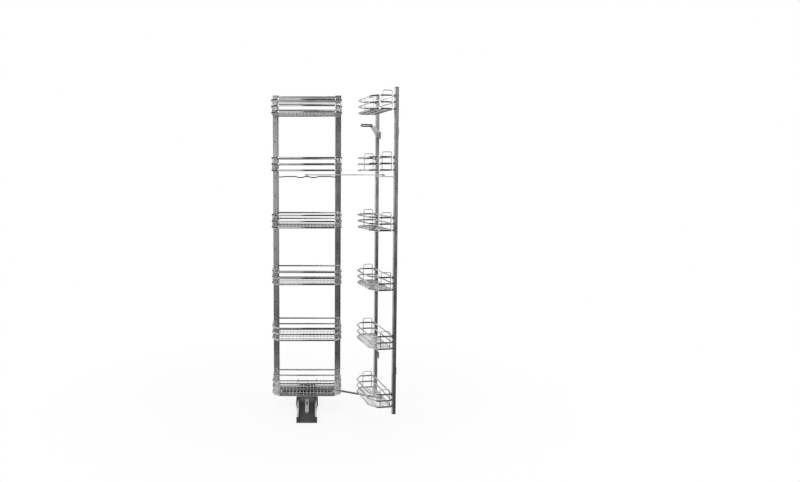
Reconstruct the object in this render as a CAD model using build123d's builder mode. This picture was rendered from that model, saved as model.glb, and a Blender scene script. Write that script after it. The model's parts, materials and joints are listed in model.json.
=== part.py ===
from build123d import *
from math import cos, radians, sin, tan
import os

os.makedirs("parts", exist_ok=True)

# Pull-out pantry unit: six wire baskets on a sliding frame and six on a door frame.
# X runs across the cabinet, Y runs into it and Z runs up from the cabinet floor.
# The origin is the middle of the floor plate's underside. The unit stands open.
# All sizes are in millimetres and degrees.

# Tiers
tier_count = 6
tier_pitch = 320.0
lowest_rail_z = 130.0

# Motion
travel = 380.0
open_angle = 100.0
open_door_centre_x = 430.0
open_door_reach = 219.0

# Cabinet space that the shut unit fills
cabinet_depth = 530.0
plate_setback = 20.0

# Clearances
seat_gap = 0.3
weld_gap = 0.1
running_gap = 0.08
overrun = 2.0

# Basket wire
rail_height = 9.0
rail_thickness = 3.0
rail_pitch = 34.5
rail_corner_radius = 14.0
post_radius = 2.2
floor_wire = 3.0
floor_wire_pitch = 20.0
cross_wire = 5.0

# Frame baskets
basket_width = 400.0
basket_depth = 312.0
basket_cut_width = 40.0
basket_cut_depth = 65.0
basket_post_shares = [0.30, 0.36, 0.62, 0.68]
basket_cross_wires = 4

# Door baskets
door_basket_width = 396.0
door_basket_depth = 120.0
door_cut_width = 65.0
door_cut_depth = 38.0
door_cross_wires = 2
loop_wire_radius = 2.3
loop_width = 52.0
loop_rise = 26.0
loop_corner_radius = 8.0
loop_setback = 14.0

# Frame uprights: closed sections with a slotted front and a step at one edge
frame_width = 406.0
upright_width = 35.0
upright_depth = 25.0
upright_sheet = 2.0
upright_web_width = 27.0
upright_step = 6.0
upright_foot_z = 40.0
upright_top_z = 1846.0
slot_width = 5.0
slot_length = 12.0
slots_per_tier = 3
slot_drop = 6.0
hook_thickness = 4.0
hook_height = 8.0
hook_reach = 6.0
cap_height = 4.0
cap_corner_radius = 3.0

# Beams of the sliding frame
top_beam_height = 36.0
beam_sheet = 2.0
link_beam_thickness = 6.0
link_beam_depth = 18.0
link_boss_width = 28.0
link_dip_width = 130.0
link_dip = 6.0
link_ramp = 10.0
link_shelf_width = 280.0
link_end_drop = 3.0
screw_head_radius = 4.5
screw_head_height = 2.5
screw_socket_radius = 2.2
screw_socket_depth = 1.5
screw_inset = 9.0

# Door frame
door_frame_width = 412.0
door_upright_width = 25.0
door_upright_depth = 18.0
door_upright_sheet = 1.8
door_upright_foot_z = 94.0
door_upright_top_z = 1837.0
door_bar_depth = 14.0
door_bar_height = 6.0
bracket_sheet = 2.0
bracket_height = 40.0
bracket_reach = 31.0
bracket_hole_radius = 2.5
bracket_hole_inset = 12.0
bracket_low_z = 330.0
bracket_high_z = 1610.0

# Links between the two frames
link_thickness = 6.0
link_width = 16.0
link_eye_radius = 11.0
upper_link_z = 1381.0
lower_link_z = 98.0
link_pivot_offset = 60.0
pin_radius = 4.0
pin_head_radius = 7.0
pin_head_height = 3.0
upper_spacer = 3.0
lower_spacer = 8.0
pin_foot = 3.4

# Catch arm on the hinge side of the door frame
catch_z = 1665.0
catch_pivot_reach = 28.0
catch_arm_length = 66.0
catch_arm_height = 17.0
catch_arm_thickness = 6.0
catch_plate_thickness = 3.0
catch_plate_radius = 11.0
catch_plate_drop = 68.0
catch_plate_foot = 40.0
catch_foot_width = 13.0
catch_bolt_radius = 5.0
catch_bolt_head_radius = 9.0
catch_bolt_head_height = 4.0

# Runner on the cabinet floor
plate_length = 500.0
plate_sheet = 2.5
plate_wall = 2.0
plate_wall_height = 32.0
plate_hole_radius = 2.5
plate_hole_spacing_x = 60.0
plate_hole_spacing_y = 420.0
tray_width = 94.0
tray_sheet = 2.0
tray_height = 34.0
tray_floor_z = 5.0
tray_reach = 418.0
tray_tail = 20.0
slide_sheet = 1.4
slide_centre_z = 21.0
inner_slide_depth = 10.0
inner_slide_height = 18.0
inner_slide_length = 420.0
slide_wall_gap = 1.0
middle_slide_lip = 9.9
middle_slide_length = 395.0
outer_slide_wall_gap = 2.2
outer_slide_lip = 11.0
outer_slide_length = 417.0
ball_gap = 2.6
cage_width = 6.0
cage_length = 180.0
cage_lip_gap = 0.7
inner_cage_setback = 14.0
outer_cage_setback = 4.0
end_cap_length = 12.0
end_cap_width = 11.0
end_cap_height = 31.0

# Soft-close unit in the tray
damper_width = 21.0
damper_length = 247.0
damper_height = 12.0
damper_nose_radius = 8.0
damper_end_setback = 5.0
damper_slot_width = 8.0
damper_slot_length = 75.0
damper_slot_depth = 8.0
damper_slot_setback = 69.0
catch_stroke = 60.0
catch_block_length = 14.0
catch_peg_radius = 3.0
catch_peg_rise = 5.0
striker_width = 12.0
striker_sheet = 2.4
striker_lip = 3.0

# Directions
across_x = (1, 0, 0)
back_x = (-1, 0, 0)
to_front = (0, -1, 0)
upward = (0, 0, 1)

# Places along Y with the unit open
front_y = -(plate_length / 2 + plate_setback)
upright_y = front_y + cabinet_depth - upright_depth - travel
upright_back_y = upright_y + upright_depth
upright_middle_y = upright_y + upright_depth / 2
tray_front_y = upright_y - tray_reach
tray_rear_y = upright_y + tray_tail
tier_heights = [lowest_rail_z + (tier_count - 1 - tier) * tier_pitch for tier in range(tier_count)]
rail_levels = [level * rail_pitch for level in range(3)]
basket_top = rail_levels[-1] + rail_height / 2
slot_pitch = tier_pitch / slots_per_tier
first_slot_z = lowest_rail_z + rail_levels[-1] - slot_drop
slot_heights = [first_slot_z + step * slot_pitch for step in range(-1, slots_per_tier * (tier_count - 1) + 1)]
door_slot_heights = [z for z in slot_heights if z - slot_length > door_upright_foot_z]
hook_low = rail_levels[-1] - slot_drop - hook_height / 2

# The door frame has its own axes: across the door, out of the door's inner face, and up.
# Its hinge line is the upright axis that turns the shut middle into the open middle.
door_back = door_upright_depth + weld_gap + bracket_sheet
shut_y = front_y + door_back
open_y = shut_y - open_door_reach
half_cotangent = 1 / (2 * tan(radians(open_angle / 2)))
hinge_x = open_door_centre_x / 2 + open_door_reach * half_cotangent
hinge_y = (open_y + shut_y) / 2 + open_door_centre_x * half_cotangent
door_x_dir = Vector(cos(radians(open_angle)), sin(radians(open_angle)), 0)
door_plane = Plane(origin=(open_door_centre_x, open_y, 0), x_dir=door_x_dir, z_dir=upward)
door_web_plane = Plane(origin=door_plane.origin, x_dir=door_x_dir, z_dir=-door_plane.y_dir)

# The link is as long with the unit open as with it shut, which fixes its place on the frame.
door_pivot = Vector(link_pivot_offset, -door_upright_depth / 2)
open_pivot = door_plane.from_local_coords(door_pivot)
shut_pivot_y = shut_y - door_upright_depth / 2
open_rise = open_pivot.Y - upright_middle_y
shut_rise = shut_pivot_y - upright_middle_y - travel
anchor_x = (open_pivot.X**2 - link_pivot_offset**2 + open_rise**2 - shut_rise**2) / (
    2 * (open_pivot.X - link_pivot_offset)
)
anchor = Vector(anchor_x, upright_middle_y, 0)
link_length = (anchor - open_pivot).length
link_plane = Plane(origin=open_pivot, x_dir=anchor - open_pivot, z_dir=upward)

# Widths across the runner, each side of its middle
inner_web_x = tray_width / 2 + weld_gap
inner_lip_x = inner_web_x + inner_slide_depth
middle_web_x = inner_lip_x + slide_wall_gap + slide_sheet
middle_lip_x = middle_web_x - middle_slide_lip
outer_web_x = middle_web_x + outer_slide_wall_gap + slide_sheet
outer_lip_x = outer_web_x - outer_slide_lip
plate_half_width = outer_web_x + weld_gap + plate_wall

# Heights of the slides, from the smallest to the largest
inner_half = inner_slide_height / 2
middle_half = inner_half + ball_gap + slide_sheet
outer_half = middle_half + ball_gap + slide_sheet

# Fronts and backs of the slides
slide_front_y = tray_front_y + end_cap_length + travel + overrun
inner_slide_front_y = tray_front_y + end_cap_length + weld_gap
inner_slide_rear_y = inner_slide_front_y + inner_slide_length
middle_rear_y = slide_front_y - travel / 2 + middle_slide_length
outer_rear_y = slide_front_y + outer_slide_length

# Beams
beam_half = frame_width / 2 - upright_width - weld_gap
foot_beam_low_z = tray_floor_z + tray_height + weld_gap
foot_beam_top_z = lower_link_z - pin_foot - seat_gap
link_boss_z = upper_link_z - pin_foot - seat_gap

# Soft-close unit
damper_rear_y = upright_y - damper_end_setback
damper_low_z = tray_floor_z + tray_sheet + weld_gap
damper_top_z = damper_low_z + damper_height
slot_rear_y = damper_rear_y - damper_slot_setback
block_y = slot_rear_y - seat_gap - catch_block_length / 2
block_height = damper_slot_depth - seat_gap
peg_top_z = damper_top_z + catch_peg_rise
striker_low_z = peg_top_z + seat_gap
striker_front_y = block_y + travel - catch_stroke + catch_peg_radius + seat_gap
striker_post_y = tray_rear_y + travel + overrun
striker_rear_y = striker_post_y + striker_sheet

print("hinge line", round(hinge_x, 4), round(hinge_y, 4))
print("door pivot", open_pivot, "frame pivot", anchor, "length", round(link_length, 4))
print("shut rise", round(shut_rise, 4), "shut run", round(anchor_x - link_pivot_offset, 4))


def save(piece, name):
    """Label a finished piece and write it out."""
    piece.label = name
    export_step(piece, f"parts/{name}.step")


def cut_corner_outline(width, depth, cut_width, cut_depth):
    """Corners of a basket seen from above, from its back edge to its cut front corners."""
    half = width / 2
    return [
        (-half, 0),
        (half, 0),
        (half, depth - cut_depth),
        (half - cut_width, depth),
        (cut_width - half, depth),
        (-half, depth - cut_depth),
    ]


def rail_ring(plane, outline):
    """Flat bar bent round a basket, seen from above."""
    with BuildSketch(plane) as ring:
        with BuildLine():
            Polyline(*outline, close=True)
        make_face()
        fillet(ring.vertices(), radius=rail_corner_radius)
        offset(amount=-rail_thickness, mode=Mode.SUBTRACT)
    return ring.sketch


def floor_area(plane, outline, posts, radius):
    """Space inside the lowest rail and clear of its posts, seen from above."""
    with BuildSketch(plane) as area:
        with BuildLine():
            Polyline(*outline, close=True)
        make_face()
        fillet(area.vertices(), radius=rail_corner_radius)
        offset(amount=-(rail_thickness + weld_gap), mode=Mode.REPLACE)
        with Locations(*posts):
            Circle(radius + weld_gap, mode=Mode.SUBTRACT)
    return area.sketch


def floor_wires(plane, width, depth):
    """Fine floor wires from the back of a basket to its front."""
    count = 2 * int((width / 2 - rail_thickness) / floor_wire_pitch) + 1
    with BuildSketch(plane) as wires:
        with Locations((0, depth / 2)):
            with GridLocations(floor_wire_pitch, depth, count, 1):
                Rectangle(floor_wire, depth)
    return wires.sketch


def floor_cross_wires(plane, width, depth, count):
    """Stout wires across a basket, below its fine floor wires."""
    with BuildSketch(plane) as wires:
        with Locations((0, depth / 2)):
            with GridLocations(width, depth / (count + 1), 1, count):
                Rectangle(width, cross_wire)
    return wires.sketch


def circles(plane, places, radius):
    """Round sections at the places given."""
    with BuildSketch(plane) as sections:
        with Locations(*places):
            Circle(radius)
    return sections.sketch


def boxes(plane, places, width, depth):
    """Rectangular sections at the places given."""
    with BuildSketch(plane) as sections:
        with Locations(*places):
            Rectangle(width, depth)
    return sections.sketch


def rounded_boxes(plane, places, width, depth, radius):
    """Rectangular sections with rounded corners at the places given."""
    with BuildSketch(plane) as sections:
        with Locations(*places):
            RectangleRounded(width, depth, radius)
    return sections.sketch


def slots(plane, places):
    """Upright hook slots at the places given."""
    with BuildSketch(plane) as sections:
        with Locations(*places):
            SlotOverall(slot_length, slot_width, rotation=90)
    return sections.sketch


def channel(plane, web, lip, low, high, sheet):
    """Section of a channel whose back is at web and whose two lips reach lip."""
    turn = sheet if lip > web else -sheet
    with BuildSketch(plane) as section:
        with BuildLine():
            Polyline(
                (web, low),
                (lip, low),
                (lip, low + sheet),
                (web + turn, low + sheet),
                (web + turn, high - sheet),
                (lip, high - sheet),
                (lip, high),
                (web, high),
                close=True,
            )
        make_face()
    return section.sketch


def trough(plane, half_width, low, high, floor, wall):
    """Section of a channel that is open at the top."""
    inside = half_width - wall
    with BuildSketch(plane) as section:
        with BuildLine():
            Polyline(
                (-half_width, low),
                (half_width, low),
                (half_width, high),
                (inside, high),
                (inside, low + floor),
                (-inside, low + floor),
                (-inside, high),
                (-half_width, high),
                close=True,
            )
        make_face()
    return section.sketch


def upright_section(left):
    """Closed section of a frame upright, from its left edge."""
    right = left + upright_width
    web_right = left + upright_web_width
    step_y = upright_y + upright_step
    with BuildSketch(Plane.XY.offset(upright_foot_z)) as section:
        with BuildLine():
            Polyline(
                (left, upright_y),
                (web_right, upright_y),
                (web_right, step_y),
                (right, step_y),
                (right, upright_back_y),
                (left, upright_back_y),
                close=True,
            )
        make_face()
        offset(amount=-upright_sheet, mode=Mode.SUBTRACT)
    return section.sketch


def across(y):
    """Upright plane across the cabinet, facing its front."""
    return Plane(origin=(0, y, 0), x_dir=across_x, z_dir=to_front)


def beside_door(x):
    """Upright plane along the door's thickness, at a place across the door."""
    return Plane(
        origin=door_plane.from_local_coords(Vector(x, 0)),
        x_dir=door_plane.y_dir,
        z_dir=door_x_dir,
    )


# Floor plate with its side walls, screw holes and rear tongue
with BuildPart() as floor_plate:
    extrude(
        trough(across(plate_length / 2), plate_half_width, 0, plate_wall_height, plate_sheet, plate_wall),
        amount=plate_length,
    )
    tongue_length = striker_rear_y - plate_length / 2
    tongue_y = (striker_rear_y + plate_length / 2) / 2
    extrude(boxes(Plane.XY, [(0, tongue_y)], striker_width, tongue_length), amount=plate_sheet)
    with BuildSketch() as screw_holes:
        with GridLocations(plate_hole_spacing_x, plate_hole_spacing_y, 2, 2):
            Circle(plate_hole_radius)
    extrude(screw_holes.sketch, amount=plate_sheet, mode=Mode.SUBTRACT)
save(floor_plate.part, "floor_plate")

# Striker arm over the tray, turned down at its front to push the damper peg
with BuildPart() as striker_arm:
    with BuildSketch(Plane.YZ.offset(-striker_width / 2)) as striker_side:
        with BuildLine():
            Polyline(
                (striker_rear_y, plate_sheet + weld_gap),
                (striker_rear_y, striker_low_z + striker_sheet),
                (striker_front_y, striker_low_z + striker_sheet),
                (striker_front_y, striker_low_z - striker_lip),
                (striker_front_y + striker_sheet, striker_low_z - striker_lip),
                (striker_front_y + striker_sheet, striker_low_z),
                (striker_post_y, striker_low_z),
                (striker_post_y, plate_sheet + weld_gap),
                close=True,
            )
        make_face()
    extrude(striker_side.sketch, amount=striker_width)
save(striker_arm.part, "striker_arm")

# Three nested slides on each side of the tray
for side, sign in (("left", -1), ("right", 1)):
    with BuildPart() as slide_outer:
        extrude(
            channel(
                across(outer_rear_y),
                sign * outer_web_x,
                sign * outer_lip_x,
                slide_centre_z - outer_half,
                slide_centre_z + outer_half,
                slide_sheet,
            ),
            amount=outer_slide_length,
        )
    save(slide_outer.part, f"slide_outer_{side}")

    with BuildPart() as slide_middle:
        extrude(
            channel(
                across(middle_rear_y),
                sign * middle_web_x,
                sign * middle_lip_x,
                slide_centre_z - middle_half,
                slide_centre_z + middle_half,
                slide_sheet,
            ),
            amount=middle_slide_length,
        )
    save(slide_middle.part, f"slide_middle_{side}")

    with BuildPart() as slide_inner:
        extrude(
            channel(
                across(inner_slide_rear_y),
                sign * inner_web_x,
                sign * inner_lip_x,
                slide_centre_z - inner_half,
                slide_centre_z + inner_half,
                slide_sheet,
            ),
            amount=inner_slide_length,
        )
    save(slide_inner.part, f"slide_inner_{side}")

# Ball cages between the slides, above and below
cage_height = ball_gap - 2 * seat_gap
inner_cage_x = middle_lip_x + cage_lip_gap + cage_width / 2
outer_cage_x = outer_lip_x + cage_lip_gap + cage_width / 2
inner_cage_z = inner_half + ball_gap / 2
outer_cage_z = middle_half + ball_gap / 2
with BuildPart() as ball_cages:
    for cage_x, cage_z, cage_rear_y in (
        (inner_cage_x, inner_cage_z, inner_slide_rear_y - inner_cage_setback),
        (outer_cage_x, outer_cage_z, slide_front_y + outer_cage_setback + cage_length),
    ):
        corners = [
            (x_side * cage_x, slide_centre_z + z_side * cage_z) for x_side in (-1, 1) for z_side in (-1, 1)
        ]
        extrude(boxes(across(cage_rear_y), corners, cage_width, cage_height), amount=cage_length)
save(ball_cages.part, "ball_cages")

# Tray that carries the sliding frame
with BuildPart() as runner_tray:
    extrude(
        trough(
            across(tray_rear_y),
            tray_width / 2,
            tray_floor_z,
            tray_floor_z + tray_height,
            tray_sheet,
            tray_sheet,
        ),
        amount=tray_rear_y - tray_front_y,
    )
save(runner_tray.part, "runner_tray")

# End caps on the front of the inner slides
cap_x = inner_web_x + end_cap_width / 2
cap_z = tray_floor_z + end_cap_height / 2
with BuildPart() as tray_end_caps:
    extrude(
        rounded_boxes(
            across(tray_front_y + end_cap_length),
            [(-cap_x, cap_z), (cap_x, cap_z)],
            end_cap_width,
            end_cap_height,
            cap_corner_radius,
        ),
        amount=end_cap_length,
    )
save(tray_end_caps.part, "tray_end_caps")

# Damper housing with the slot that its catch runs in
with BuildPart() as damper_housing:
    with BuildSketch(Plane.XY.offset(damper_low_z)) as damper_outline:
        with Locations((0, damper_rear_y - damper_length / 2)):
            Rectangle(damper_width, damper_length)
        fillet(damper_outline.vertices().group_by(Axis.Y)[0], radius=damper_nose_radius)
    extrude(damper_outline.sketch, amount=damper_height)
    extrude(
        boxes(
            Plane.XY.offset(damper_top_z),
            [(0, slot_rear_y - damper_slot_length / 2)],
            damper_slot_width,
            damper_slot_length,
        ),
        amount=-damper_slot_depth,
        mode=Mode.SUBTRACT,
    )
save(damper_housing.part, "damper_housing")

# Damper catch with its peg
with BuildPart() as damper_catch:
    extrude(
        boxes(
            Plane.XY.offset(damper_top_z),
            [(0, block_y)],
            damper_slot_width - 2 * seat_gap,
            catch_block_length,
        ),
        amount=-block_height,
    )
    extrude(circles(Plane.XY.offset(damper_top_z), [(0, block_y)], catch_peg_radius), amount=catch_peg_rise)
save(damper_catch.part, "damper_catch")

# Foot beam and top beam, folded channels open at the back
for beam, low_z, high_z in (
    ("foot_beam", foot_beam_low_z, foot_beam_top_z),
    ("top_beam", upright_top_z - top_beam_height, upright_top_z),
):
    with BuildPart() as folded_beam:
        extrude(
            channel(Plane.YZ.offset(-beam_half), upright_y, upright_back_y, low_z, high_z, beam_sheet),
            amount=2 * beam_half,
        )
    save(folded_beam.part, beam)

# Link beam: a flat bar with a raised boss under the link's pin
link_top = [
    (link_boss_width / 2, link_boss_z),
    (link_boss_width / 2 + link_ramp, link_boss_z - link_dip),
    (link_dip_width / 2 - link_ramp, link_boss_z - link_dip),
    (link_dip_width / 2, link_boss_z),
    (link_shelf_width / 2, link_boss_z),
    (link_shelf_width / 2 + link_ramp, link_boss_z - link_end_drop),
    (beam_half, link_boss_z - link_end_drop),
]
link_top_left = [(-x, z) for x, z in reversed(link_top)]
link_crest = link_top_left + link_top
link_under = [(x, z - link_beam_thickness) for x, z in reversed(link_crest)]
with BuildPart() as link_beam:
    with BuildSketch(across(upright_middle_y + link_beam_depth / 2)) as link_beam_side:
        with BuildLine():
            Polyline(*link_crest, *link_under, close=True)
        make_face()
    extrude(link_beam_side.sketch, amount=link_beam_depth)
save(link_beam.part, "link_beam")

# Screw heads near the ends of the two folded beams
screw_places = [
    (x_side * (beam_half - screw_inset), screw_z)
    for x_side in (-1, 1)
    for screw_z in ((foot_beam_low_z + foot_beam_top_z) / 2, upright_top_z - top_beam_height / 2)
]
with BuildPart() as beam_screws:
    screw_face = across(upright_y - weld_gap)
    extrude(circles(screw_face, screw_places, screw_head_radius), amount=screw_head_height)
    with BuildSketch(screw_face.offset(screw_head_height)) as sockets:
        with Locations(*screw_places):
            RegularPolygon(screw_socket_radius, 6)
    extrude(sockets.sketch, amount=-screw_socket_depth, mode=Mode.SUBTRACT)
save(beam_screws.part, "beam_screws")

# Frame uprights, with the step on the right of each
upright_lefts = {"left": -frame_width / 2, "right": frame_width / 2 - upright_width}
slot_centres_x = [left + upright_web_width / 2 for left in upright_lefts.values()]
for side, left in upright_lefts.items():
    with BuildPart() as upright:
        extrude(upright_section(left), amount=upright_top_z - upright_foot_z)
        extrude(
            slots(across(upright_y), [(left + upright_web_width / 2, z) for z in slot_heights]),
            amount=-upright_sheet,
            mode=Mode.SUBTRACT,
        )
    save(upright.part, f"upright_{side}")

# Caps on the frame uprights
with BuildPart() as upright_caps:
    extrude(
        rounded_boxes(
            Plane.XY.offset(upright_top_z + weld_gap),
            [(left + upright_width / 2, upright_middle_y) for left in upright_lefts.values()],
            upright_width,
            upright_depth,
            cap_corner_radius,
        ),
        amount=cap_height,
    )
save(upright_caps.part, "upright_caps")

# Frame baskets, from the top tier down
frame_outline = cut_corner_outline(basket_width, basket_depth, basket_cut_width, basket_cut_depth)
side_post_x = basket_width / 2 - rail_thickness - weld_gap - post_radius
back_post_x = basket_width / 2 - rail_corner_radius - post_radius
back_post_y = rail_thickness + weld_gap + post_radius
frame_hook_xs = [-x for x in slot_centres_x]
frame_posts = [(x_side * side_post_x, share * basket_depth) for x_side in (-1, 1) for share in basket_post_shares]
frame_posts += [(-back_post_x, back_post_y), (back_post_x, back_post_y)]
frame_hook_length = seat_gap + hook_reach + rail_thickness
frame_hook_y = rail_thickness - frame_hook_length / 2
for tier, tier_z in enumerate(tier_heights, start=1):
    basket_plane = Plane(origin=(0, upright_y - seat_gap, tier_z), x_dir=back_x, z_dir=upward)
    with BuildPart() as frame_basket_rails:
        for level in rail_levels:
            ring_plane = basket_plane.offset(level - rail_height / 2)
            extrude(rail_ring(ring_plane, frame_outline), amount=rail_height)
        extrude(
            circles(basket_plane.offset(-rail_height / 2), frame_posts, post_radius),
            amount=basket_top + rail_height / 2,
        )
        extrude(
            boxes(
                basket_plane.offset(hook_low),
                [(x, frame_hook_y) for x in frame_hook_xs],
                hook_thickness,
                frame_hook_length,
            ),
            amount=hook_height,
        )
    save(frame_basket_rails.part, f"frame_basket_{tier}_rails")

    with BuildPart() as frame_basket_floor:
        extrude(floor_wires(basket_plane.offset(-floor_wire / 2), basket_width, basket_depth), amount=floor_wire)
        extrude(
            floor_cross_wires(
                basket_plane.offset(-rail_height / 2), basket_width, basket_depth, basket_cross_wires
            ),
            amount=(rail_height - floor_wire) / 2,
        )
        extrude(
            floor_area(basket_plane.offset(-rail_height / 2), frame_outline, frame_posts, post_radius),
            amount=rail_height,
            mode=Mode.INTERSECT,
        )
    save(frame_basket_floor.part, f"frame_basket_{tier}_floor")

# Door frame uprights, closed sections slotted towards the baskets
door_edge = door_frame_width / 2
door_inner_edge = door_edge - door_upright_width
door_slot_x = door_edge - door_upright_width / 2
for side, sign in (("hinge_side", 1), ("free_side", -1)):
    with BuildPart() as door_upright:
        with BuildSketch(door_plane.offset(door_upright_foot_z)) as door_section:
            with Locations((sign * door_slot_x, -door_upright_depth / 2)):
                Rectangle(door_upright_width, door_upright_depth)
                Rectangle(
                    door_upright_width - 2 * door_upright_sheet,
                    door_upright_depth - 2 * door_upright_sheet,
                    mode=Mode.SUBTRACT,
                )
        extrude(door_section.sketch, amount=door_upright_top_z - door_upright_foot_z)
        extrude(
            slots(door_web_plane, [(sign * door_slot_x, z) for z in door_slot_heights]),
            amount=door_upright_sheet,
            mode=Mode.SUBTRACT,
        )
    save(door_upright.part, f"door_upright_{side}")

# Caps at both ends of the door uprights
with BuildPart() as door_upright_caps:
    for cap_low_z in (door_upright_foot_z - weld_gap - cap_height, door_upright_top_z + weld_gap):
        extrude(
            rounded_boxes(
                door_plane.offset(cap_low_z),
                [(-door_slot_x, -door_upright_depth / 2), (door_slot_x, -door_upright_depth / 2)],
                door_upright_width,
                door_upright_depth,
                cap_corner_radius,
            ),
            amount=cap_height,
        )
save(door_upright_caps.part, "door_upright_caps")

# Bars between the door uprights
upper_bar_top_z = upper_link_z - seat_gap - upper_spacer - weld_gap
lower_bar_low_z = lower_link_z + link_thickness + seat_gap + lower_spacer + weld_gap
for bar, bar_low_z in (
    ("upper_door_bar", upper_bar_top_z - door_bar_height),
    ("lower_door_bar", lower_bar_low_z),
):
    with BuildPart() as door_bar:
        extrude(
            boxes(
                door_plane.offset(bar_low_z),
                [(0, -door_upright_depth / 2)],
                2 * (door_inner_edge - weld_gap),
                door_bar_depth,
            ),
            amount=door_bar_height,
        )
    save(door_bar.part, bar)

# Brackets that screw to the cabinet door
bracket_width = door_upright_width + bracket_reach
bracket_x = door_edge - bracket_width / 2
bracket_hole_x = door_inner_edge - bracket_reach + bracket_hole_inset
bracket_face = door_web_plane.offset(door_upright_depth + weld_gap)
bracket_heights = (bracket_low_z, bracket_high_z)
with BuildPart() as door_fixing_brackets:
    extrude(
        boxes(
            bracket_face,
            [(x_side * bracket_x, z) for x_side in (-1, 1) for z in bracket_heights],
            bracket_width,
            bracket_height,
        ),
        amount=bracket_sheet,
    )
    extrude(
        circles(
            bracket_face,
            [(x_side * bracket_hole_x, z) for x_side in (-1, 1) for z in bracket_heights],
            bracket_hole_radius,
        ),
        amount=bracket_sheet,
        mode=Mode.SUBTRACT,
    )
save(door_fixing_brackets.part, "door_fixing_brackets")

# Pins on the door bars that the links turn on
pin_place = [(link_pivot_offset, -door_upright_depth / 2)]
upper_head_z = upper_link_z + link_thickness + seat_gap
with BuildPart() as upper_door_pin:
    spacer_plane = door_plane.offset(upper_bar_top_z + weld_gap)
    extrude(circles(spacer_plane, pin_place, pin_head_radius), amount=upper_spacer)
    extrude(
        circles(spacer_plane, pin_place, pin_radius),
        amount=upper_head_z - upper_bar_top_z - weld_gap,
    )
    extrude(circles(door_plane.offset(upper_head_z), pin_place, pin_head_radius), amount=pin_head_height)
save(upper_door_pin.part, "upper_door_pin")

lower_head_z = lower_link_z - seat_gap
with BuildPart() as lower_door_pin:
    spacer_plane = door_plane.offset(lower_bar_low_z - weld_gap)
    extrude(circles(spacer_plane, pin_place, pin_head_radius), amount=-lower_spacer)
    extrude(
        circles(spacer_plane, pin_place, pin_radius),
        amount=-(lower_bar_low_z - weld_gap - lower_head_z),
    )
    extrude(circles(door_plane.offset(lower_head_z), pin_place, pin_head_radius), amount=-pin_head_height)
save(lower_door_pin.part, "lower_door_pin")

# Links, each with the pin that stands on the sliding frame
for level_name, link_z in (("upper", upper_link_z), ("lower", lower_link_z)):
    low_plane = link_plane.offset(link_z)
    with BuildPart() as link:
        extrude(boxes(low_plane, [(link_length / 2, 0)], link_length, link_width), amount=link_thickness)
        extrude(circles(low_plane, [(0, 0), (link_length, 0)], link_eye_radius), amount=link_thickness)
        extrude(
            circles(low_plane, [(0, 0)], pin_radius + running_gap),
            amount=link_thickness,
            mode=Mode.SUBTRACT,
        )
        extrude(
            circles(low_plane, [(link_length, 0)], pin_radius + weld_gap),
            amount=link_thickness,
            mode=Mode.SUBTRACT,
        )
    save(link.part, f"{level_name}_link")

    with BuildPart() as frame_pin:
        extrude(
            circles(low_plane.offset(-pin_foot), [(link_length, 0)], pin_radius),
            amount=pin_foot + link_thickness + weld_gap,
        )
        extrude(
            circles(low_plane.offset(link_thickness + weld_gap), [(link_length, 0)], pin_head_radius),
            amount=pin_head_height,
        )
    save(frame_pin.part, f"{level_name}_frame_pin")

# Catch plate on the hinge-side upright
catch_plate_x = door_inner_edge - weld_gap - catch_plate_thickness
catch_arm_x = catch_plate_x - seat_gap - catch_arm_thickness
catch_head_x = catch_arm_x - seat_gap - catch_bolt_head_height
with BuildPart() as catch_bracket:
    with BuildSketch(beside_door(catch_plate_x)) as plate_outline:
        with Locations((catch_pivot_reach, catch_z)):
            Circle(catch_plate_radius)
        with Locations((-door_upright_depth / 2, catch_z - catch_plate_drop + catch_plate_foot / 2)):
            Rectangle(catch_foot_width, catch_plate_foot)
        make_hull()
        with Locations((catch_pivot_reach, catch_z)):
            Circle(catch_bolt_radius + weld_gap, mode=Mode.SUBTRACT)
    extrude(plate_outline.sketch, amount=catch_plate_thickness)
save(catch_bracket.part, "catch_bracket")

# Bolt that the catch arm turns on
with BuildPart() as catch_bolt:
    extrude(
        circles(beside_door(catch_head_x), [(catch_pivot_reach, catch_z)], catch_bolt_head_radius),
        amount=catch_bolt_head_height,
    )
    extrude(
        circles(beside_door(catch_head_x), [(catch_pivot_reach, catch_z)], catch_bolt_radius),
        amount=catch_plate_x + catch_plate_thickness - catch_head_x,
    )
save(catch_bolt.part, "catch_bolt")

# Catch arm, level and pointing away from the door
arm_straight = catch_arm_length - catch_arm_height / 2
with BuildPart() as catch_arm:
    arm_plane = beside_door(catch_arm_x)
    arm_middle = [(catch_pivot_reach + arm_straight / 2, catch_z)]
    arm_ends = [(catch_pivot_reach, catch_z), (catch_pivot_reach + arm_straight, catch_z)]
    extrude(boxes(arm_plane, arm_middle, arm_straight, catch_arm_height), amount=catch_arm_thickness)
    extrude(circles(arm_plane, arm_ends, catch_arm_height / 2), amount=catch_arm_thickness)
    extrude(
        circles(arm_plane, [(catch_pivot_reach, catch_z)], catch_bolt_radius + running_gap),
        amount=catch_arm_thickness,
        mode=Mode.SUBTRACT,
    )
save(catch_arm.part, "catch_arm")

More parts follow.
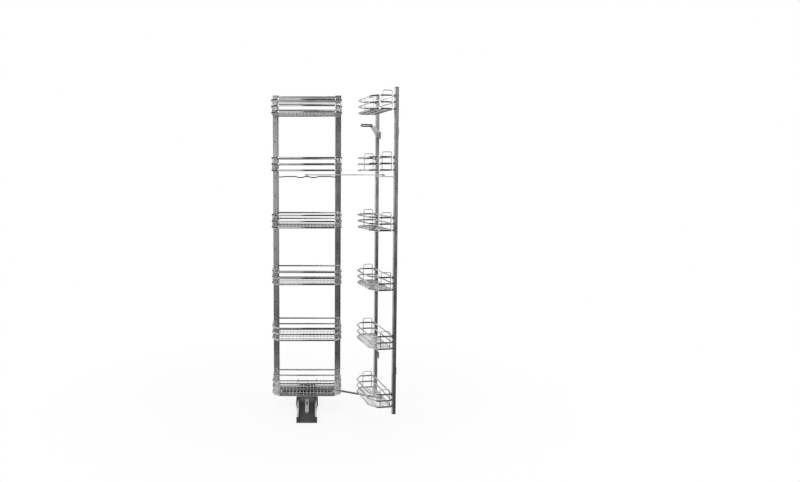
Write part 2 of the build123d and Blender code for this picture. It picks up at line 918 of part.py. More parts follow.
# Door baskets, from the top tier down, with a wire loop standing at each end
door_outline = cut_corner_outline(door_basket_width, door_basket_depth, door_cut_width, door_cut_depth)
loop_x = door_basket_width / 2 - rail_thickness - weld_gap - loop_wire_radius
loop_ends = (loop_setback, loop_setback + loop_width)
door_legs = [(x_side * loop_x, leg_y) for x_side in (-1, 1) for leg_y in loop_ends]
door_hook_root = rail_corner_radius / 2
door_hook_length = seat_gap + hook_reach + door_hook_root
door_hook_y = door_hook_root - door_hook_length / 2
for tier, tier_z in enumerate(tier_heights, start=1):
    basket_plane = Plane(
        origin=door_plane.from_local_coords(Vector(0, seat_gap, tier_z)),
        x_dir=door_x_dir,
        z_dir=upward,
    )
    with BuildPart() as door_basket_rails:
        for level in rail_levels:
            ring_plane = basket_plane.offset(level - rail_height / 2)
            extrude(rail_ring(ring_plane, door_outline), amount=rail_height)
        extrude(
            boxes(
                basket_plane.offset(hook_low),
                [(-door_slot_x, door_hook_y), (door_slot_x, door_hook_y)],
                hook_thickness,
                door_hook_length,
            ),
            amount=hook_height,
        )
        for x_side in (-1, 1):
            loop_plane = Plane(
                origin=basket_plane.from_local_coords(Vector(x_side * loop_x, 0)),
                x_dir=basket_plane.y_dir,
                z_dir=door_x_dir,
            )
            with BuildLine(loop_plane) as loop_path:
                FilletPolyline(
                    (loop_ends[0], -rail_height / 2),
                    (loop_ends[0], rail_levels[-1] + loop_rise),
                    (loop_ends[1], rail_levels[-1] + loop_rise),
                    (loop_ends[1], -rail_height / 2),
                    radius=loop_corner_radius,
                )
            with BuildSketch(Plane(origin=loop_path.line @ 0, z_dir=loop_path.line % 0)) as loop_section:
                Circle(loop_wire_radius)
            sweep(sections=loop_section.sketch, path=loop_path.line)
    save(door_basket_rails.part, f"door_basket_{tier}_rails")

    with BuildPart() as door_basket_floor:
        extrude(
            floor_wires(basket_plane.offset(-floor_wire / 2), door_basket_width, door_basket_depth),
            amount=floor_wire,
        )
        extrude(
            floor_cross_wires(
                basket_plane.offset(-rail_height / 2), door_basket_width, door_basket_depth, door_cross_wires
            ),
            amount=(rail_height - floor_wire) / 2,
        )
        extrude(
            floor_area(basket_plane.offset(-rail_height / 2), door_outline, door_legs, loop_wire_radius),
            amount=rail_height,
            mode=Mode.INTERSECT,
        )
    save(door_basket_floor.part, f"door_basket_{tier}_floor")
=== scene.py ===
import json
import logging
import math
from collections.abc import Callable
from dataclasses import dataclass, field, replace
from enum import Enum

import bpy
from mathutils import Matrix, Vector


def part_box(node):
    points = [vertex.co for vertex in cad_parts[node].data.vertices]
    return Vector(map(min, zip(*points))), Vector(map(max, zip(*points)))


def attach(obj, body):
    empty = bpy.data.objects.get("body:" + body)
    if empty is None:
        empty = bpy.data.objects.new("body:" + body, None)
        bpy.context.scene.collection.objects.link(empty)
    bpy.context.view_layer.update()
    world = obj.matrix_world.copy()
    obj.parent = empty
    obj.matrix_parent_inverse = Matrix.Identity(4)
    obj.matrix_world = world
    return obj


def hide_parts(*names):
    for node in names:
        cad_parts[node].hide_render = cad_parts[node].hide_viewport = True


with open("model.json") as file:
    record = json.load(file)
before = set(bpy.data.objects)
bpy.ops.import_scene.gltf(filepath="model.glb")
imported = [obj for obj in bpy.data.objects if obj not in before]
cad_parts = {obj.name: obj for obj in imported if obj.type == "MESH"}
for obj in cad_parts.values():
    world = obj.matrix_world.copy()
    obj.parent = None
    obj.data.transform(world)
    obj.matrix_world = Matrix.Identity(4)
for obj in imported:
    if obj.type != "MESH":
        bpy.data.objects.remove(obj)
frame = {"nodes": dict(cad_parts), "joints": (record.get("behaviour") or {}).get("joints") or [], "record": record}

log = logging.getLogger("pantry_unit")

Pair = tuple[float, float]
Triple = tuple[float, float, float]

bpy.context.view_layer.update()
SLOTS = {row["node"]: row["material_slot"] for row in frame["record"]["subparts"]}

MM = 0.001
SIDES = (-1, 1)
QUARTER_TURN = math.pi / 2
FRAME_PIXELS = (800, 482)

TIERS = 6
TIER_PITCH = 320 * MM
LOWEST_RAIL = 130 * MM
RAIL_LEVELS = (0.0, 34.5 * MM, 69.0 * MM)
DOOR_PIVOT = (430 * MM, -468.9 * MM, 0)
DOOR_UPRIGHT = 193.5 * MM

BEVEL_FROM = math.radians(40)
SMOOTH_UP_TO = math.radians(35)
FACE_REACH = 0.1 * MM
CORNER_REACH = 0.5 * MM
MERGE_REACH = 0.00001
NEARLY_ALL = 0.9
ROUND_SIDES = 12
SIX_SIDED = 6

MARK_DETAIL = 4.0
MARK_DEPTH = 0.2 * MM
CLOUD_SCALE = 9.0
CLOUD_DETAIL = 3.0
EVEN_SHARE = 0.5
COLOUR_STOPS = (0.36, 0.64)
GLOSS_RANGE = (0.3, 0.7)
RUBBED_WIDTH = 0.5 * MM
RUBBED_TURN = (0.995, 0.9)
# Ambient occlusion values over which the painted shade in slots and hollows fades from black to none.
HOLLOW_SHADE_RANGE = (0.35, 0.75)
NO_LIGHT = (0.0, 0.0, 0.0, 1.0)

# A Mix node has several sockets called A, B and Result. These are its colour ones.
MIX_A, MIX_B, MIX_COLOUR = 6, 7, 2


class Grain(Enum):
    """Way that the marks of a finish run."""

    EVEN = (1.0, 1.0, 1.0)
    ACROSS = (0.02, 1.0, 1.0)
    INWARD = (1.0, 0.02, 1.0)
    UPRIGHT = (1.0, 1.0, 0.02)


@dataclass
class Recipe:
    """Node tree of a material or of the surroundings, built node by node."""

    tree: bpy.types.NodeTree

    def add(self, kind: str, inputs: dict[str | int, object], **options: object) -> bpy.types.Node:
        """Add a node, set its options, then fill or link its inputs.

        Args:
            kind: Kind of node.
            inputs: A value, or a socket to link, for each input.
            **options: Settings of the node.

        Returns:
            The node.
        """
        made = self.tree.nodes.new(kind)
        for name, value in options.items():
            setattr(made, name, value)
        for key, value in inputs.items():
            if isinstance(value, bpy.types.NodeSocket):
                self.tree.links.new(value, made.inputs[key])
            else:
                made.inputs[key].default_value = value
        return made

    def math(self, operation: str, *values: object) -> bpy.types.NodeSocket:
        """Add a Math node for one operation and give its result."""
        return self.add("ShaderNodeMath", dict(enumerate(values)), operation=operation).outputs[0]

    def noise(self, place: bpy.types.NodeSocket, scale: float, detail: float) -> bpy.types.NodeSocket:
        """Add a Noise Texture node of one scale and give its grey value."""
        inputs = {"Vector": place, "Scale": scale, "Detail": detail}
        return self.add("ShaderNodeTexNoise", inputs).outputs["Fac"]

    def ranged(
        self,
        value: bpy.types.NodeSocket,
        source: Pair,
        target: Pair = (0.0, 1.0),
        **options: object,
    ) -> bpy.types.NodeSocket:
        """Map a value from one range to another.

        Args:
            value: What is mapped.
            source: Start and end of its own range.
            target: Start and end of the new range.
            **options: Settings of the node.

        Returns:
            The mapped value.
        """
        names = ("From Min", "From Max", "To Min", "To Max")
        inputs = {"Value": value, **dict(zip(names, (*source, *target)))}
        return self.add("ShaderNodeMapRange", inputs, **options).outputs["Result"]

    def mixed(self, share: object, first: object, second: object) -> bpy.types.NodeSocket:
        """Mix two colours, where the share is that of the second."""
        inputs = {0: share, MIX_A: first, MIX_B: second}
        return self.add("ShaderNodeMix", inputs, data_type="RGBA").outputs[MIX_COLOUR]

    def seen(self) -> bpy.types.NodeSocket:
        """Tell rays that look at the background from rays that light.

        Returns:
            Socket that is 1 for camera, glossy and transmission rays.
        """
        rays = self.add("ShaderNodeLightPath", {}).outputs
        gloss = self.math("MAXIMUM", rays["Is Glossy Ray"], rays["Is Transmission Ray"])
        return self.math("MAXIMUM", rays["Is Camera Ray"], gloss)

    def show(
        self,
        output: str,
        share: bpy.types.NodeSocket,
        first: bpy.types.Node,
        second: bpy.types.Node,
    ) -> None:
        """Mix two shaders and make them the surface.

        Args:
            output: Name of the tree's output node.
            share: Share of the second shader.
            first: Shader where the share is 0.
            second: Shader where the share is 1.
        """
        inputs = {0: share, 1: first.outputs[0], 2: second.outputs[0]}
        mix = self.add("ShaderNodeMixShader", inputs)
        self.tree.links.new(mix.outputs[0], self.tree.nodes[output].inputs["Surface"])


def grey(level: float) -> tuple[float, float, float, float]:
    """Opaque grey of one level, from 0 for black to 1 for white."""
    return level, level, level, 1.0


def new_material(name: str) -> tuple[bpy.types.Material, Recipe, bpy.types.Node]:
    """Make a plain material that uses nodes.

    Args:
        name: Name of the material.

    Returns:
        The material, its node tree and its shader.
    """
    made = bpy.data.materials.new(name)
    made.use_nodes = True
    return made, Recipe(made.node_tree), made.node_tree.nodes["Principled BSDF"]


@dataclass(frozen=True)
class Finish:
    """Surface of one kind of metal or plastic.

    Attributes:
        name: Name of the material.
        dark: Darker of its two colours.
        light: Lighter of its two colours.
        metallic: 1 for bare metal, 0 for paint and plastic.
        smooth: Lowest roughness.
        rough: Highest roughness.
        marks: Fineness of the marks, as the scale of their noise.
        bump: Strength of the marks' relief.
        worn: Colour of its rubbed edges.
        wear: How much of the edges is rubbed, 0 for a finish that shows no wear.
        hollow_shade: How far the painted shade inside slots and hollows reaches, 0 for none.
        shine: Strength of the gloss on paint and plastic.
        grain: Way that the marks run.
    """

    name: str
    dark: Triple
    light: Triple
    metallic: float
    smooth: float
    rough: float
    marks: float
    bump: float
    worn: Triple = (0.6, 0.6, 0.62)
    wear: float = 0.0
    hollow_shade: float = 0.0
    shine: float = 0.5
    grain: Grain = Grain.EVEN

    def along(self, grain: Grain) -> "Finish":
        """Give the same finish with its marks running another way."""
        return replace(self, name=f"{self.name}_{grain.name.lower()}", grain=grain)

    def rubbed(
        self,
        recipe: Recipe,
        base: bpy.types.NodeSocket,
        bump: bpy.types.Node,
        cloud: bpy.types.NodeSocket,
    ) -> bpy.types.NodeSocket:
        """Rub the edges, in patches, and round them in the shading.

        Args:
            recipe: Node tree of the material.
            base: Colour so far.
            bump: Bump node, which takes the rounded edges.
            cloud: Wide noise that makes the patches.

        Returns:
            The colour with rubbed edges.
        """
        rounded = recipe.add("ShaderNodeBevel", {"Radius": RUBBED_WIDTH}).outputs["Normal"]
        recipe.tree.links.new(rounded, bump.inputs["Normal"])
        flat = recipe.add("ShaderNodeNewGeometry", {}).outputs["Normal"]
        turn = recipe.add("ShaderNodeVectorMath", {0: rounded, 1: flat}, operation="DOT_PRODUCT")
        edge = recipe.ranged(turn.outputs["Value"], RUBBED_TURN, (0.0, self.wear))
        return recipe.mixed(recipe.math("MULTIPLY", edge, cloud), base, (*self.worn, 1.0))

    def paint_hollow_shade(self, recipe: Recipe, base: bpy.types.NodeSocket) -> bpy.types.NodeSocket:
        """Paint shade into the slots and hollows of a piece, where light would hardly reach.

        Args:
            recipe: Node tree of the material.
            base: Colour so far.

        Returns:
            The colour with painted shade in its hollows.
        """
        reach = {"Distance": self.hollow_shade}
        # Painted shade: black mixed into the colour where the Ambient Occlusion node finds the piece closed in.
        unshaded_share = recipe.add("ShaderNodeAmbientOcclusion", reach, only_local=True).outputs["AO"]
        return recipe.mixed(recipe.ranged(unshaded_share, HOLLOW_SHADE_RANGE), NO_LIGHT, base)

    def material(self) -> bpy.types.Material:
        """Make the material, or return the one already made.

        Returns:
            The material, with colour, roughness, wear and bump from its nodes.
        """
        made = bpy.data.materials.get(self.name)
        if made is not None:
            return made
        made, recipe, shader = new_material(self.name)
        shader.inputs["Metallic"].default_value = self.metallic
        shader.inputs["Specular IOR Level"].default_value = self.shine
        place = recipe.add("ShaderNodeTexCoord", {}).outputs["Object"]
        stretched = recipe.add("ShaderNodeMapping", {"Vector": place, "Scale": self.grain.value})
        fine = recipe.noise(stretched.outputs[0], self.marks, MARK_DETAIL)
        cloud = recipe.noise(place, CLOUD_SCALE, CLOUD_DETAIL)
        fine_part = recipe.math("MULTIPLY", fine, EVEN_SHARE)
        blend = recipe.math("MULTIPLY_ADD", cloud, EVEN_SHARE, fine_part)
        colours = recipe.add("ShaderNodeValToRGB", {"Fac": blend})
        stops = zip(colours.color_ramp.elements, COLOUR_STOPS, (self.dark, self.light))
        for stop, position, colour in stops:
            stop.position = position
            stop.color = (*colour, 1.0)
        gloss = recipe.ranged(blend, GLOSS_RANGE, (self.smooth, self.rough))
        relief = {"Height": fine, "Strength": self.bump, "Distance": MARK_DEPTH}
        bump = recipe.add("ShaderNodeBump", relief)
        base = colours.outputs["Color"]
        if self.wear:
            base = self.rubbed(recipe, base, bump, cloud)
        if self.hollow_shade:
            base = self.paint_hollow_shade(recipe, base)
        for name, socket in (
            ("Base Color", base),
            ("Roughness", gloss),
            ("Normal", bump.outputs["Normal"]),
        ):
            recipe.tree.links.new(socket, shader.inputs[name])
        return made


CHROME = Finish(
    name="chrome",
    dark=(0.42, 0.43, 0.44),
    light=(0.62, 0.63, 0.65),
    metallic=1.0,
    smooth=0.04,
    rough=0.13,
    marks=90.0,
    bump=0.03,
)
SATIN = Finish(
    name="satin_steel",
    dark=(0.4, 0.4, 0.41),
    light=(0.56, 0.56, 0.57),
    metallic=1.0,
    smooth=0.2,
    rough=0.34,
    marks=420.0,
    bump=0.12,
    wear=0.8,
    # Painted shade inside the slots and hollows of the steel pieces.
    hollow_shade=14 * MM,
)
BRIGHT = Finish(
    name="bright_steel",
    dark=(0.45, 0.46, 0.48),
    light=(0.6, 0.61, 0.63),
    metallic=1.0,
    smooth=0.12,
    rough=0.24,
    marks=300.0,
    bump=0.05,
)
ZINC = Finish(
    name="zinc_plate",
    dark=(0.52, 0.53, 0.55),
    light=(0.68, 0.69, 0.71),
    metallic=1.0,
    smooth=0.25,
    rough=0.45,
    marks=160.0,
    bump=0.08,
    wear=0.8,
)
PAINT = Finish(
    name="tray_paint",
    dark=(0.028, 0.028, 0.03),
    light=(0.065, 0.065, 0.068),
    metallic=0.0,
    smooth=0.45,
    rough=0.6,
    marks=900.0,
    bump=0.1,
    worn=(0.3, 0.3, 0.31),
    wear=1.0,
    shine=0.15,
)
# Near-black steel: the catch arm's dark rim, and painted shade on the foot beam, link beam and lower link, which
# stand in shadow.
BLACKED_AND_SHADE = Finish(
    name="blacked_and_shaded_steel",
    dark=(0.05, 0.05, 0.054),
    light=(0.09, 0.09, 0.095),
    metallic=1.0,
    smooth=0.3,
    rough=0.45,
    marks=300.0,
    bump=0.1,
)
BLACK = Finish(
    name="black_plastic",
    dark=(0.012, 0.012, 0.013),
    light=(0.03, 0.03, 0.031),
    metallic=0.0,
    smooth=0.4,
    rough=0.6,
    marks=1200.0,
    bump=0.15,
)
PALE = Finish(
    name="pale_plastic",
    dark=(0.72, 0.73, 0.74),
    light=(0.82, 0.83, 0.84),
    metallic=0.0,
    smooth=0.35,
    rough=0.55,
    marks=1200.0,
    bump=0.1,
    # Painted shade inside the hollows of the pale plastic pieces.
    hollow_shade=12 * MM,
)
SURFACES = {
    "chrome_wire": CHROME,
    "satin_steel": SATIN,
    "bright_steel": BRIGHT,
    "zinc_plate": ZINC,
    "dark_paint": PAINT,
    "black_plastic": BLACK,
    "pale_plastic": PALE,
}
# Surfaces set by node: painted shade on the floor plate, foot beam, link beam and lower link, which get dark paint
# and dark steel because they stand in shadow; the other nodes' own finishes.
SHADED_AND_OWN_SURFACES = {
    "floor_plate": PAINT,
    "foot_beam": BLACKED_AND_SHADE,
    "link_beam": BLACKED_AND_SHADE,
    "lower_link": BLACKED_AND_SHADE,
    "damper_catch": BLACK,
    "catch_bracket": ZINC,
    "door_fixing_brackets": ZINC,
}


def deselect() -> None:
    """Leave nothing selected, in object mode."""
    if bpy.context.object is not None and bpy.context.object.mode != "OBJECT":
        bpy.ops.object.mode_set(mode="OBJECT")
    bpy.ops.object.select_all(action="DESELECT")


def pick(piece: bpy.types.Object) -> None:
    """Select one piece alone and make it active."""
    deselect()
    piece.select_set(True)
    bpy.context.view_layer.objects.active = piece


def settle(piece: bpy.types.Object) -> bpy.types.Object:
    """Put a piece's place, turn and size into its mesh.

    Args:
        piece: Piece to settle.

    Returns:
        The same piece, with its object at the origin.
    """
    pick(piece)
    bpy.ops.object.transform_apply(location=True, rotation=True, scale=True)
    return piece


def placed(piece: bpy.types.Object, place: Matrix) -> bpy.types.Object:
    """Move a piece made round the origin to its place in the CAD's axes."""
    piece.matrix_world = place
    return settle(piece)


def apply_all(piece: bpy.types.Object) -> bpy.types.Object:
    """Apply each modifier of a piece in order.

    Args:
        piece: Piece with modifiers.

    Returns:
        The same piece.
    """
    pick(piece)
    for modifier in list(piece.modifiers):
        bpy.ops.object.modifier_apply(modifier=modifier.name)
    return piece


def shade_smooth() -> None:
    """Shade the selected piece smooth, except over its sharp edges."""
    bpy.ops.object.shade_smooth_by_angle(angle=SMOOTH_UP_TO)


def soften(piece: bpy.types.Object, width: float, segments: int = 2) -> bpy.types.Object:
    """Round a piece's sharp edges and shade it smooth.

    Args:
        piece: Piece to soften.
        width: Width of the rounding.
        segments: Faces across the rounding.

    Returns:
        The same piece.
    """
    modifier = piece.modifiers.new("edges", "BEVEL")
    modifier.width = width
    modifier.segments = segments
    modifier.limit_method = "ANGLE"
    modifier.angle_limit = BEVEL_FROM
    apply_all(piece)
    shade_smooth()
    return piece


def repeat(piece: bpy.types.Object, count: int, step: Triple) -> bpy.types.Object:
    """Repeat a piece in a row.

    Args:
        piece: First of the row.
        count: How many there are in all.
        step: Way from one to the next.

    Returns:
        The whole row.
    """
    row = piece.modifiers.new("row", "ARRAY")
    row.count = count
    row.use_relative_offset = False
    row.use_constant_offset = True
    row.constant_offset_displace = step
    return apply_all(piece)


def join(parts: list[bpy.types.Object], name: str) -> bpy.types.Object:
    """Join parts into one piece.

    Args:
        parts: Parts to join; the first takes in the others.
        name: Name of the piece.

    Returns:
        The joined piece.
    """
    deselect()
    for part in parts:
        part.select_set(True)
    bpy.context.view_layer.objects.active = parts[0]
    if len(parts) > 1:
        bpy.ops.object.join()
    parts[0].name = name
    return settle(parts[0])


def copied(piece: bpy.types.Object, shift: Vector, name: str) -> bpy.types.Object:
    """Copy a piece with a mesh of its own.

    Args:
        piece: Piece to copy.
        shift: Way from the piece to its copy.
        name: Name of the copy.

    Returns:
        The copy.
    """
    pick(piece)
    bpy.ops.object.duplicate(linked=False)
    twin = bpy.context.object
    twin.name = name
    twin.location = shift
    return settle(twin)


def block(size: Triple, middle: Triple) -> bpy.types.Object:
    """Plain block, to be shaped further.

    Args:
        size: Its length along each axis.
        middle: Its middle.

    Returns:
        The block.
    """
    deselect()
    bpy.ops.mesh.primitive_cube_add(size=1.0, location=middle)
    made = bpy.context.object
    made.scale = size
    return settle(made)


def rod(radius: float, start: Vector, end: Vector, sides: int = ROUND_SIDES) -> bpy.types.Object:
    """Straight round rod.

    Args:
        radius: Radius of the rod.
        start: Middle of one end.
        end: Middle of the other end.
        sides: Faces round the rod.

    Returns:
        The rod.
    """
    run = end - start
    deselect()
    bpy.ops.mesh.primitive_cylinder_add(
        vertices=sides,
        radius=radius,
        depth=run.length,
        location=(start + end) / 2,
        rotation=run.to_track_quat("Z", "Y").to_euler(),
    )
    return settle(bpy.context.object)


def extrude(way: Triple | Vector) -> None:
    """Extrude what is selected, in edit mode."""
    bpy.ops.mesh.extrude_region_move(TRANSFORM_OT_translate={"value": way})


def select_where(piece: bpy.types.Object, test: Callable[[Vector], bool]) -> None:
    """Select the vertices whose places pass a test, in edit mode.

    Args:
        piece: Piece that is being edited.
        test: Says of a place whether it is wanted.
    """
    bpy.ops.mesh.select_mode(type="VERT")
    bpy.ops.mesh.select_all(action="DESELECT")
    bpy.ops.object.mode_set(mode="OBJECT")
    for vertex in piece.data.vertices:
        vertex.select = test(vertex.co)
    bpy.ops.object.mode_set(mode="EDIT")


def sink(piece: bpy.types.Object, facing: Vector, rim: float, depth: float) -> None:
    """Sink a shallow panel into the face of a piece that faces one way.

    Args:
        piece: Piece made round the origin.
        facing: Way that the face looks.
        rim: Width of the rim that stays.
        depth: Depth of the panel.
    """
    bpy.ops.object.mode_set(mode="EDIT")
    far = max(vertex.co.dot(facing) for vertex in piece.data.vertices) - FACE_REACH
    select_where(piece, lambda p: p.dot(facing) > far)
    bpy.ops.mesh.inset(thickness=rim)
    extrude(-facing * depth)
    bpy.ops.object.mode_set(mode="OBJECT")


def finish(piece: bpy.types.Object, surface: Finish, body: str, node: str) -> None:
    """Dress a new piece and tie it to its body.

    Args:
        piece: Piece to finish.
        surface: Its surface.
        body: Body that it rides on.
        node: Node that it stands for.
    """
    piece.data.materials.clear()
    piece.data.materials.append(surface.material())
    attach(piece, body)
    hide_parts(node)
    log.info("made %s", piece.name)


def door_turn() -> Matrix:
    """Place of the open door frame's own axes.

    Returns:
        Matrix from the door frame's axes to the CAD's.
    """
    joint = next(j for j in frame["joints"] if j["name"] == "door_frame_swing")
    angle = math.radians(-joint["range_deg"][0])
    return Matrix.Translation(Vector(DOOR_PIVOT)) @ Matrix.Rotation(angle, 4, "Z")


@dataclass
class BasketShape:
    """Sizes of one kind of wire basket, and what builds its meshes.

    The basket is made with its back on the X axis and its front along +Y.
    """

    width: float
    depth: float
    cut_width: float
    cut_depth: float
    posts: list[Pair]
    hooks: list[float]
    hook_root: float
    cross_wires: int
    loops: bool
    thickness: float = 3 * MM
    height: float = 9 * MM
    corner: float = 14 * MM
    corner_steps: int = 6
    rail_rounding: float = 1.1 * MM
    post: float = 2.2 * MM
    post_rounding: float = 0.5 * MM
    hook_width: float = 4 * MM
    hook_height: float = 8 * MM
    hook_reach: float = 6.3 * MM
    hook_level: float = 63 * MM
    hook_rounding: float = 0.8 * MM
    loop_wire: float = 2.3 * MM
    loop_bend: float = 8 * MM
    loop_rise: float = 26 * MM
    loop_setback: float = 5.3 * MM
    loop_near: float = 14 * MM
    loop_far: float = 66 * MM
    wire: float = 1.5 * MM
    wire_sides: int = 10
    pitch: float = 20 * MM
    cross_wire: float = 2.2 * MM
    cross_sink: float = 0.7 * MM
    floor_gap: float = 0.1 * MM

    def cut_plane(self, side: int, inset: float) -> tuple[Vector, Vector]:
        """Plane of a cut front corner.

        Args:
            side: -1 for the left corner, 1 for the right.
            inset: How far inside the outline the plane stands.

        Returns:
            A point of the plane and its outward normal.
        """
        normal = Vector((side * self.cut_depth, self.cut_width, 0)).normalized()
        point = Vector((side * (self.width / 2 - self.cut_width), self.depth, 0))
        return point - normal * inset, normal

    def cut_corners(self, inset: float, fill: bool) -> None:
        """Cut both front corners off the active piece, in edit mode.

        Args:
            inset: How far inside the outline the cuts are.
            fill: Whether what is cut is closed again.
        """
        for side in SIDES:
            bpy.ops.mesh.select_all(action="SELECT")
            point, normal = self.cut_plane(side, inset)
            bpy.ops.mesh.bisect(plane_co=point, plane_no=normal, clear_outer=True, use_fill=fill)

    def rail(self) -> bpy.types.Object:
        """Flat bar bent round the basket, with its middle at height 0.

        Returns:
            The rail.
        """
        deselect()
        bpy.ops.mesh.primitive_plane_add(size=1.0, location=(0, self.depth / 2, 0))
        made = bpy.context.object
        made.scale = (self.width, self.depth, 1.0)
        settle(made)
        bpy.ops.object.mode_set(mode="EDIT")
        self.cut_corners(0.0, False)
        turn = math.atan2(self.cut_width, self.cut_depth)
        corners = (
            (self.width / 2, 0.0, QUARTER_TURN),
            (self.width / 2, self.depth - self.cut_depth, turn),
            (self.width / 2 - self.cut_width, self.depth, QUARTER_TURN - turn),
        )
        for x, y, angle in corners:
            select_where(made, lambda p: math.hypot(abs(p.x) - x, p.y - y) < CORNER_REACH)
            offset = self.corner * math.tan(angle / 2)
            bpy.ops.mesh.bevel(offset=offset, segments=self.corner_steps, affect="VERTICES")
        bpy.ops.mesh.select_mode(type="FACE")
        bpy.ops.mesh.select_all(action="SELECT")
        bpy.ops.mesh.inset(thickness=self.thickness, use_boundary=True)
        bpy.ops.mesh.delete(type="FACE")
        bpy.ops.mesh.select_mode(type="VERT")
        bpy.ops.object.mode_set(mode="OBJECT")
        wall = made.modifiers.new("height", "SOLIDIFY")
        wall.thickness = self.height
        wall.offset = 0.0
        apply_all(made)
        return soften(made, self.rail_rounding, 3)

    def bend_wire(self, centre: Triple) -> None:
        """Carry the selected end of a wire round a quarter turn, in edit mode."""
        bpy.ops.mesh.spin(
            steps=self.corner_steps, angle=QUARTER_TURN, center=centre, axis=(1, 0, 0)
        )

    def loop(self, side: int) -> bpy.types.Object:
        """Wire loop that stands at one end of a door basket.

        Args:
            side: -1 or 1, the end that it stands at.

        Returns:
            The loop.
        """
        x, near, far = side * (self.width / 2 - self.loop_setback), self.loop_near, self.loop_far
        low, top = -self.height / 2, RAIL_LEVELS[-1] + self.loop_rise
        bend = self.loop_bend
        deselect()
        bpy.ops.mesh.primitive_circle_add(
            vertices=ROUND_SIDES, radius=self.loop_wire, fill_type="NGON", location=(x, near, low)
        )
        made = settle(bpy.context.object)
        bpy.ops.object.mode_set(mode="EDIT")
        bpy.ops.mesh.select_all(action="SELECT")
        extrude((0, 0, top - bend - low))
        self.bend_wire((x, near + bend, top - bend))
        extrude((0, far - near - 2 * bend, 0))
        self.bend_wire((x, far - bend, top - bend))
        extrude((0, 0, low - top + bend))
        bpy.ops.mesh.select_all(action="SELECT")
        bpy.ops.mesh.remove_doubles(threshold=MERGE_REACH)
        bpy.ops.mesh.normals_make_consistent(inside=False)
        bpy.ops.object.mode_set(mode="OBJECT")
        shade_smooth()
        return made

    def rails(self, name: str) -> bpy.types.Object:
        """Three rails with their posts, hooks and loops.

        Args:
            name: Name of the piece.

        Returns:
            The piece.
        """
        first = self.rail()
        parts = [first]
        parts += [copied(first, Vector((0, 0, level)), "level") for level in RAIL_LEVELS[1:]]
        top = RAIL_LEVELS[-1] + self.height / 2
        for x, y in self.posts:
            post = rod(self.post, Vector((x, y, -self.height / 2)), Vector((x, y, top)))
            parts.append(soften(post, self.post_rounding))
        hook_size = (self.hook_width, self.hook_reach + self.hook_root, self.hook_height)
        for x in self.hooks:
            middle = (x, (self.hook_root - self.hook_reach) / 2, self.hook_level)
            parts.append(soften(block(hook_size, middle), self.hook_rounding))
        if self.loops:
            parts += [self.loop(side) for side in SIDES]
        return join(parts, name)

    def floor(self, name: str) -> bpy.types.Object:
        """Round floor wires, trimmed to the inside of the lowest rail.

        Args:
            name: Name of the piece.

        Returns:
            The piece.
        """
        inset = self.thickness + self.floor_gap
        half = int((self.width / 2 - self.thickness) / self.pitch)
        fine = rod(
            self.wire,
            Vector((-half * self.pitch, inset, 0)),
            Vector((-half * self.pitch, self.depth - inset, 0)),
            self.wire_sides,
        )
        parts = [repeat(fine, 2 * half + 1, (self.pitch, 0, 0))]
        drop = -self.wire - self.cross_wire + self.cross_sink
        gap = self.depth / (self.cross_wires + 1)
        for number in range(1, self.cross_wires + 1):
            start = Vector((inset - self.width / 2, number * gap, drop))
            end = Vector((self.width / 2 - inset, number * gap, drop))
            parts.append(rod(self.cross_wire, start, end))
        made = join(parts, name)
        bpy.ops.object.mode_set(mode="EDIT")
        self.cut_corners(inset, True)
        bpy.ops.object.mode_set(mode="OBJECT")
        shade_smooth()
        return made


@dataclass
class BasketStack:
    """Six baskets of one kind, from the top tier down."""

    label: str
    body: str
    shape: BasketShape
    place: Matrix

    def build(self) -> None:
        """Make the baskets, dress them and let them stand for their nodes."""
        for kind, maker in (("rails", self.shape.rails), ("floor", self.shape.floor)):
            model = placed(maker(f"{self.label}_{kind}_model"), self.place)
            for tier in range(1, TIERS + 1):
                height = LOWEST_RAIL + (TIERS - tier) * TIER_PITCH
                piece = copied(model, Vector((0, 0, height)), f"{self.label}_{tier}_{kind}_wires")
                finish(piece, CHROME, self.body, f"{self.label}_{tier}_{kind}")
            bpy.data.objects.remove(model)


@dataclass
class Caps:
    """Rounded plastic caps that stand for one node."""

    node: str
    body: str
    size: Triple
    middles: list[Triple]
    facing: Vector
    turn: Matrix = field(default_factory=lambda: Matrix.Identity(4))
    rim: float = 2.5 * MM
    panel: float = 0.8 * MM
    rounding: float = 0.7 * MM

    def build(self) -> None:
        """Make one cap with a shallow panel in its outer face, and copy it."""
        model = block(self.size, (0, 0, 0))
        sink(model, self.facing, self.rim, self.panel)
        soften(model, self.rounding, 3)
        parts = [copied(model, Vector(middle), "cap") for middle in self.middles]
        bpy.data.objects.remove(model)
        made = join(parts, f"{self.node}_moulded")
        finish(placed(made, self.turn), BLACK, self.body, self.node)


@dataclass(frozen=True)
class Step:
    """One round step of a turned piece, along its Z axis."""

    radius: float
    low: float
    high: float


@dataclass
class Pin:
    """Turned pins or screws of one node, made of round steps."""

    node: str
    body: str
    steps: list[Step]
    places: list[Matrix]
    socket: float = 0.0
    socket_depth: float = 1.5 * MM
    sides: int = 36
    rounding: float = 0.5 * MM

    def pin(self, place: Matrix) -> bpy.types.Object:
        """One pin.

        Args:
            place: Matrix from the pin's axes to the CAD's.

        Returns:
            The pin.
        """
        parts = [
            rod(step.radius, Vector((0, 0, step.low)), Vector((0, 0, step.high)), self.sides)
            for step in self.steps
        ]
        if self.socket:
            top = self.steps[0].high
            bottom = Vector((0, 0, top - self.socket_depth))
            key = rod(self.socket, bottom, Vector((0, 0, top + MM)), SIX_SIDED)
            cut = parts[0].modifiers.new("socket", "BOOLEAN")
            cut.object = key
            apply_all(parts[0])
            bpy.data.objects.remove(key)
        rounded = [soften(part, self.rounding, 3) for part in parts]
        return placed(join(rounded, "turned"), place)

    def build(self) -> None:
        """Make all the pins of the node as one piece."""
        made = join([self.pin(place) for place in self.places], f"{self.node}_turned")
        finish(made, BRIGHT, self.body, self.node)


